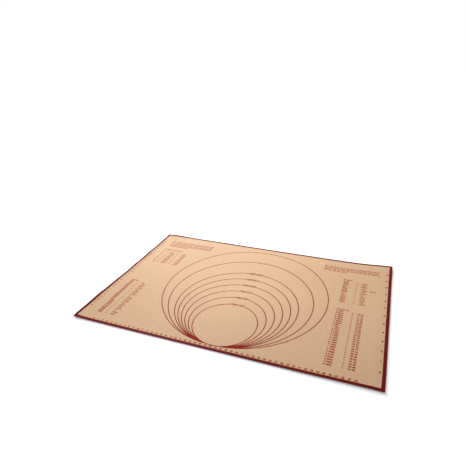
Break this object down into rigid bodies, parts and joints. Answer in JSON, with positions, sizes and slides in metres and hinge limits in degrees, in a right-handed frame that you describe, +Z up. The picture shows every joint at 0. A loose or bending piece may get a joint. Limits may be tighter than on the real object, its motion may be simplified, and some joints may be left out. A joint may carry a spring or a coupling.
{
  "type": "silicone baking mat",
  "caption": "Flat rectangular silicone baking mat with a glass cloth core, a coloured edge band, printed guide rings, side rulers and small tables of print.",
  "frame": {"origin": "middle of the underside, on the surface the mat lies on", "axes": "+X along the long front edge to the right, +Y from the front edge to the back edge, +Z up"},
  "size_m": [0.585, 0.385, 0.0009],
  "materials": {
    "tan_silicone": "satin, translucent, with the cloth's weave showing through",
    "glass_cloth": "plain weave of glass yarn",
    "red_silicone": "satin, opaque",
    "red_print": "satin printed silicone"
  },
  "bodies": {
    "root": {"base_silicone_coat": "tan_silicone", "glass_cloth_core": "glass_cloth", "top_silicone_coat": "tan_silicone", "edge_band": "red_silicone", "guide_ring_1": "red_print", "guide_ring_2": "red_print", "guide_ring_3": "red_print", "guide_ring_4": "red_print", "guide_ring_5": "red_print", "guide_ring_6": "red_print", "guide_ring_7": "red_print", "guide_ring_8": "red_print", "ring_size_numerals": "red_print", "front_ruler_numerals": "red_print", "left_ruler_numerals": "red_print", "right_ruler_numerals": "red_print", "back_left_note": "red_print", "back_right_note": "red_print", "back_left_table": "red_print", "front_left_table": "red_print", "back_right_table": "red_print", "front_right_table": "red_print"}
  },
  "joints": []
}
